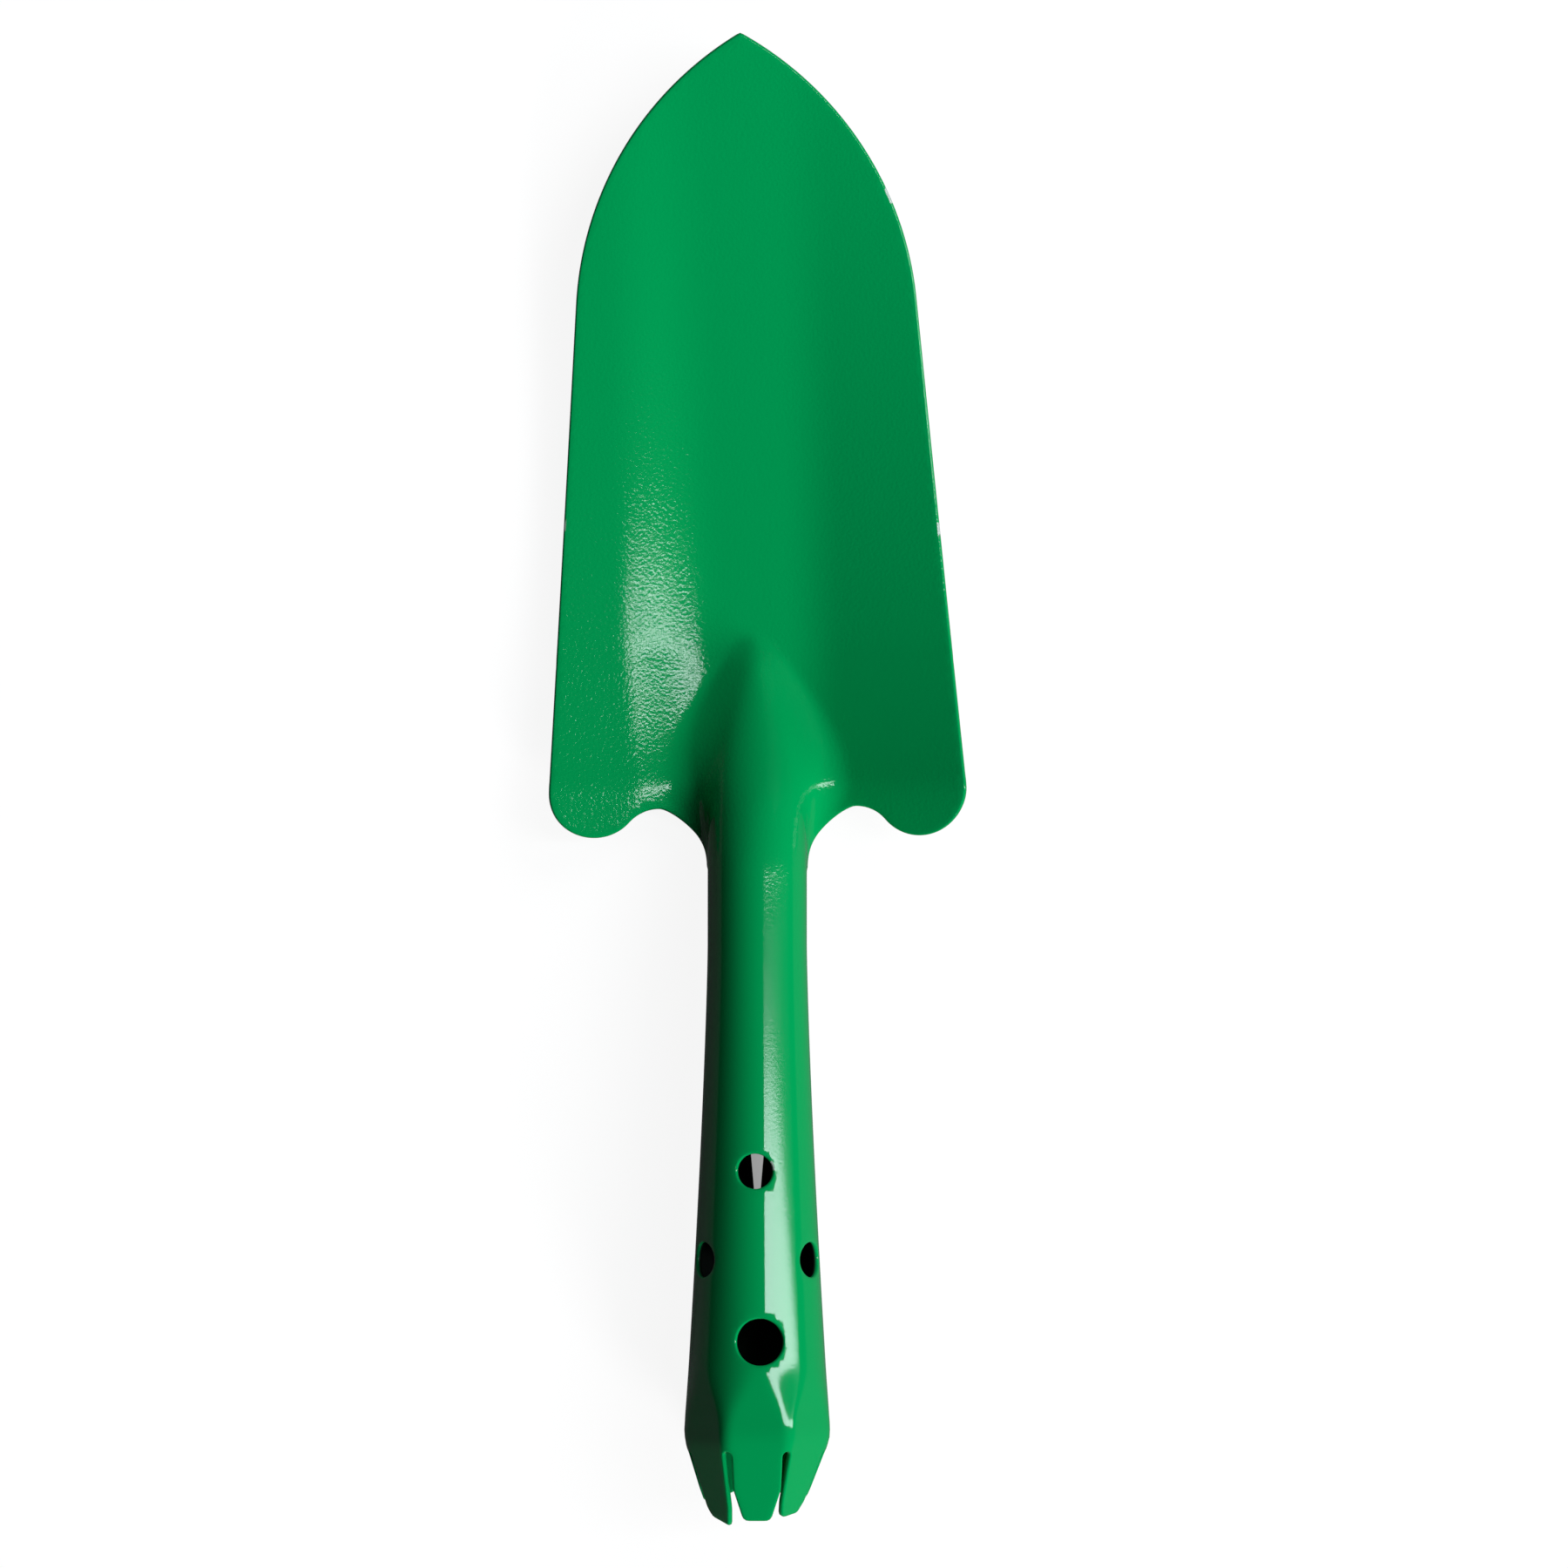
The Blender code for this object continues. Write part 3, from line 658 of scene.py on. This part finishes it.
def triangulated(inset):
    """Places and triangles inside the insets, and which place each of their points became."""
    points = np.vstack(inset + [grid(inset)])
    edges = []
    first = 0
    for loop in inset:
        count = len(loop)
        edges += [(first + i, first + (i + 1) % count) for i in range(count)]
        first += count
    vectors = [Vector(point) for point in points.tolist()]
    found = geometry.delaunay_2d_cdt(vectors, edges, [], 0, DELAUNAY_TOLERANCE)
    places = np.array([tuple(place) for place in found[0]])
    faces = np.array(found[2])
    faces = faces[inside(places[faces].mean(axis=1), inset)]
    became = {old: new for new, olds in enumerate(found[3]) for old in olds}
    return places, faces, became


def edge_profile():
    """The rounded edge from the upper face to the lower one, as distances in from the cut and depths."""
    turns = np.linspace(0.0, math.pi / 2.0, EDGE_STEPS + 1)[1:]
    upper = [
        (EDGE_ROUND * (1.0 - math.sin(turn)), SHEET / 2.0 - EDGE_ROUND * (1.0 - math.cos(turn)))
        for turn in turns
    ]
    return upper + [(distance, -depth) for distance, depth in reversed(upper)]


def band(rings):
    """Four-sided faces between rings of points."""
    size = len(rings[0])
    quads = []
    for upper, lower in zip(rings, rings[1:]):
        for i in range(size):
            j = (i + 1) % size
            quads.append((upper[i], upper[j], lower[j], lower[i]))
    return quads


def sheet_mesh():
    """The blank as two flat faces that a rounded edge joins round the outline and each hole."""
    loops = [with_sheet_on_right(evenly(outline(), OUTLINE_STEP), False)]
    loops += [with_sheet_on_right(hole_loop(*hole), True) for hole in HOLES]
    normals = [into_sheet(loop) for loop in loops]
    inset = [loop + facing * EDGE_ROUND for loop, facing in zip(loops, normals)]
    places, faces, became = triangulated(inset)
    count = len(places)
    flat = [np.column_stack([places, np.full(count, depth)]) for depth in (SHEET / 2.0, -SHEET / 2.0)]
    polygons = faces.tolist() + (faces[:, ::-1] + count).tolist()
    next_free = 2 * count
    first = 0
    for loop, facing in zip(loops, normals):
        size = len(loop)
        rim = [became[first + i] for i in range(size)]
        rings = [rim]
        for distance, depth in edge_profile():
            flat.append(np.column_stack([loop + facing * distance, np.full(size, depth)]))
            rings.append(list(range(next_free, next_free + size)))
            next_free += size
        rings.append([index + count for index in rim])
        polygons += band(rings)
        first += size
    return np.vstack(flat), polygons


def place_on_ground(points):
    """The same shift as the CAD's: box centre over the origin, lowest point on the ground."""
    low = points.min(axis=0)
    high = points.max(axis=0)
    return points - np.array([(low[0] + high[0]) / 2.0, (low[1] + high[1]) / 2.0, low[2]])


def marks(flat):
    """Red where shade is painted on the inside of the tube, green on its cut edges, blue on the blade."""
    width, station, depth = flat.T
    inner = np.where(depth < 0.0, 1.0, 0.0)
    from_petals = ease((station - PAINTED_SHADE_FROM) / PAINTED_SHADE_BLEND)
    # Where the painted shade inside the tube goes
    red = inner * from_petals * ease((NECK_STATION - station) / PAINTED_SHADE_BLEND_AT_NECK)
    green = np.where(np.abs(depth) < SHEET / 2.0 - ON_FACE, 1.0, 0.0)
    blue = ease((station - NECK_STATION) / PEEL_BLEND + 0.5)
    return np.stack([red, green, blue, np.ones(len(flat))], axis=1)


def trowel():
    flat, polygons = sheet_mesh()
    points = place_on_ground(formed(flat[:, 0], flat[:, 1], flat[:, 2]))
    data = bpy.data.meshes.new("trowel_sheet")
    data.from_pydata((points * METRE).tolist(), [], polygons)
    data.update()
    data.shade_smooth()
    layer = data.color_attributes.new("marks", "FLOAT_COLOR", "POINT")
    layer.data.foreach_set("color", marks(flat).ravel())
    made = bpy.data.objects.new("trowel_sheet", data)
    bpy.context.scene.collection.objects.link(made)
    return made


def feed(tree, socket, source):
    """Links a socket to another node's, or gives it a number or a colour."""
    if isinstance(source, bpy.types.NodeSocket):
        tree.links.new(source, socket)
    elif isinstance(source, tuple):
        socket.default_value = (*source, 1.0)
    else:
        socket.default_value = source


def ramp(tree, source, start, end, low, high):
    """A node that takes the source from one range smoothly to another."""
    node = tree.nodes.new("ShaderNodeMapRange")
    node.interpolation_type = "SMOOTHSTEP"
    names = ("Value", "From Min", "From Max", "To Min", "To Max")
    for name, value in zip(names, (source, start, end, low, high)):
        feed(tree, node.inputs[name], value)
    return node.outputs["Result"]


def maths(tree, operation, *sources):
    node = tree.nodes.new("ShaderNodeMath")
    node.operation = operation
    for socket, source in zip(node.inputs, sources):
        feed(tree, socket, source)
    return node.outputs[0]


def mixed(tree, kind, factor, first, second):
    """The first number or colour where the factor is 0, and the second where it is 1."""
    node = tree.nodes.new("ShaderNodeMix")
    node.data_type = kind
    for name, source in (("Factor", factor), ("A", first), ("B", second)):
        feed(tree, node.inputs[name], source)
    return node.outputs["Result"]


def noise(tree, scale):
    place = tree.nodes.new("ShaderNodeTexCoord")
    node = tree.nodes.new("ShaderNodeTexNoise")
    node.inputs["Scale"].default_value = scale
    node.inputs["Detail"].default_value = NOISE_DETAIL
    node.inputs["Roughness"].default_value = NOISE_ROUGHNESS
    tree.links.new(place.outputs["Object"], node.inputs["Vector"])
    return node.outputs["Fac"]


def new_paint(name):
    paint = bpy.data.materials.new(name)
    paint.use_nodes = True
    return paint, paint.node_tree, paint.node_tree.nodes["Principled BSDF"]


def enamel():
    """Gloss green, with orange peel on the blade, chips along the edges and near-black painted shade
    inside the grip.
    """
    paint, tree, shader = new_paint("trowel_enamel")
    shader.inputs["Specular IOR Level"].default_value = SPECULAR
    painted = tree.nodes.new("ShaderNodeVertexColor")
    painted.layer_name = "marks"
    split = tree.nodes.new("ShaderNodeSeparateColor")
    tree.links.new(painted.outputs["Color"], split.inputs["Color"])
    painted_shade, edge, blade = (split.outputs[name] for name in ("Red", "Green", "Blue"))
    spots = ramp(tree, noise(tree, CHIP_SCALE), CHIP_FROM, CHIP_FROM + CHIP_BLEND, 0.0, 1.0)
    outside = mixed(tree, "RGBA", maths(tree, "MULTIPLY", edge, spots), GREEN, CHIPPED)
    # Near-black painted shade where the red mark is, inside the tube
    feed(tree, shader.inputs["Base Color"], mixed(tree, "RGBA", painted_shade, outside, PAINTED_SHADE_INSIDE))
    gloss = ramp(tree, blade, 0.0, 1.0, ROUGHNESS_GRIP, ROUGHNESS_BLADE)
    feed(tree, shader.inputs["Roughness"], mixed(tree, "FLOAT", painted_shade, gloss, ROUGHNESS_INSIDE))
    peel = tree.nodes.new("ShaderNodeBump")
    peel.inputs["Distance"].default_value = PEEL_HEIGHT
    feed(tree, peel.inputs["Height"], noise(tree, PEEL_SCALE))
    feed(tree, peel.inputs["Strength"], ramp(tree, blade, 0.0, 1.0, PEEL_GRIP, PEEL_BLADE))
    feed(tree, shader.inputs["Normal"], peel.outputs["Normal"])
    return paint


def painted_shade_under_grip(tree, place):
    """1 on open floor, and less where shade is painted into the glow right under the grip, which shows
    through the upper hole.
    """
    split = tree.nodes.new("ShaderNodeSeparateXYZ")
    tree.links.new(place, split.inputs[0])
    aside = maths(tree, "ABSOLUTE", split.outputs["X"])
    along = split.outputs["Y"]
    across = ramp(tree, aside, UNDER_GRIP_HALF_WIDTH, UNDER_GRIP_OUT_TO, 1.0, 0.0)
    front = ramp(tree, along, UNDER_GRIP_FROM - UNDER_GRIP_BLEND, UNDER_GRIP_FROM, 1.0, 0.0)
    rear = ramp(tree, along, UNDER_GRIP_TO, UNDER_GRIP_TO + UNDER_GRIP_BLEND, 0.0, 1.0)
    under = maths(tree, "MULTIPLY", across, maths(tree, "MULTIPLY", front, rear))
    return ramp(tree, under, 0.0, 1.0, 1.0, PAINTED_SHADE_UNDER_GRIP)


def floor_paint():
    """White to the eye by a glow of its own, with painted shade under the grip, and dark to the lamps, so
    that little light comes back up.
    """
    paint, tree, shader = new_paint("floor_white")
    shader.inputs["Roughness"].default_value = FLOOR_ROUGHNESS
    shader.inputs["Specular IOR Level"].default_value = 0.0
    shader.inputs["Emission Color"].default_value = (1.0, 1.0, 1.0, 1.0)
    place = tree.nodes.new("ShaderNodeTexCoord").outputs["Object"]
    away = tree.nodes.new("ShaderNodeVectorMath")
    away.operation = "LENGTH"
    tree.links.new(place, away.inputs[0])
    grey = ramp(tree, away.outputs["Value"], FLOOR_LIT_OUT_TO, FLOOR_DARK_FROM, FLOOR_GREY, 0.0)
    feed(tree, shader.inputs["Base Color"], grey)
    white = maths(tree, "SUBTRACT", FLOOR_GLOW + FLOOR_GREY, grey)
    rays = tree.nodes.new("ShaderNodeLightPath").outputs
    mirrored = maths(tree, "MAXIMUM", rays["Is Glossy Ray"], rays["Is Transmission Ray"])
    seen = maths(tree, "MULTIPLY_ADD", mirrored, FLOOR_MIRRORED, rays["Is Camera Ray"])
    # The glow takes the painted shade under the grip
    glow = maths(tree, "MULTIPLY", maths(tree, "MULTIPLY", white, seen), painted_shade_under_grip(tree, place))
    feed(tree, shader.inputs["Emission Strength"], glow)
    return paint


def floor():
    bpy.ops.mesh.primitive_plane_add(size=FLOOR_SIZE, location=(0.0, 0.0, -FLOOR_DROP))
    made = bpy.context.object
    made.name = "floor"
    made.data.materials.append(floor_paint())


def softbox(name, place, across, along, power):
    data = bpy.data.lights.new(name, "AREA")
    data.shape = "RECTANGLE"
    data.size = across
    data.size_y = along
    data.energy = power
    made = bpy.data.objects.new(name, data)
    bpy.context.scene.collection.objects.link(made)
    made.location = place
    return made


def fill(name, reach, tilt, turn, size, power):
    """A soft lamp that only evens out the shading, so it is not mirrored in the paint."""
    centre = Vector(FILL_TARGET)
    way = Vector((math.sin(tilt) * math.cos(turn), math.sin(tilt) * math.sin(turn), math.cos(tilt)))
    made = softbox(name, centre + way * reach, size, size, power)
    made.rotation_euler = (centre - made.location).to_track_quat("-Z", "Y").to_euler()
    made.visible_glossy = False


def strip():
    """A long narrow box of light over the right side, mirrored in the gloss of the blade and the grip."""
    tilt = (STRIP_LOW + STRIP_HIGH) / 2.0
    half = (STRIP_LOW - STRIP_HIGH) / 2.0
    away = STRIP_REACH * math.cos(half)
    place = (away * math.sin(tilt), STRIP_OFFSET, away * math.cos(tilt))
    length = 2.0 * STRIP_REACH * math.sin(half)
    made = softbox("strip", place, length, STRIP_WIDTH, STRIP_POWER)
    made.rotation_euler = (0.0, tilt, 0.0)
    made.rotation_euler.rotate_axis("Z", -STRIP_SLANT)
    made.data.color = STRIP_COLOUR


def lights():
    strip()
    fill("side_fill", *SIDE_FILL)
    fill("low_fill", *LOW_FILL)
    fill("tip_fill", *TIP_FILL)


def surroundings():
    world = bpy.data.worlds.new("studio")
    world.use_nodes = True
    background = world.node_tree.nodes["Background"]
    background.inputs["Color"].default_value = (1.0, 1.0, 1.0, 1.0)
    background.inputs["Strength"].default_value = WORLD_STRENGTH
    bpy.context.scene.world = world


def camera():
    data = bpy.data.cameras.new("camera")
    data.sensor_fit = "HORIZONTAL"
    data.sensor_width = SENSOR_WIDTH
    data.lens = SENSOR_WIDTH * CAMERA_DISTANCE / PICTURE_HEIGHT
    data.clip_start = CLIP_START
    data.clip_end = CLIP_END
    made = bpy.data.objects.new("camera", data)
    bpy.context.scene.collection.objects.link(made)
    x, y, z = CAMERA_TARGET
    made.location = (
        x,
        y - CAMERA_DISTANCE * math.sin(CAMERA_PITCH),
        z + CAMERA_DISTANCE * math.cos(CAMERA_PITCH),
    )
    made.rotation_euler = (CAMERA_PITCH, 0.0, 0.0)
    bpy.context.scene.camera = made


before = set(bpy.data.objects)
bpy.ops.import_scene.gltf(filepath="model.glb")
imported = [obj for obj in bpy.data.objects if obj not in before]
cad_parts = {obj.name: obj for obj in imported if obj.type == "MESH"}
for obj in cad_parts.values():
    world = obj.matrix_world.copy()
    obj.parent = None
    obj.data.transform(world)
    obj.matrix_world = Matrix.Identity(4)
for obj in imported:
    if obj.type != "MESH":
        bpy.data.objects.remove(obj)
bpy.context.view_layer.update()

body = trowel()
body.data.materials.append(enamel())
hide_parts("trowel_body")
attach(body, "root")

floor()
lights()
surroundings()
camera()

bpy.context.scene.view_settings.view_transform = "Standard"
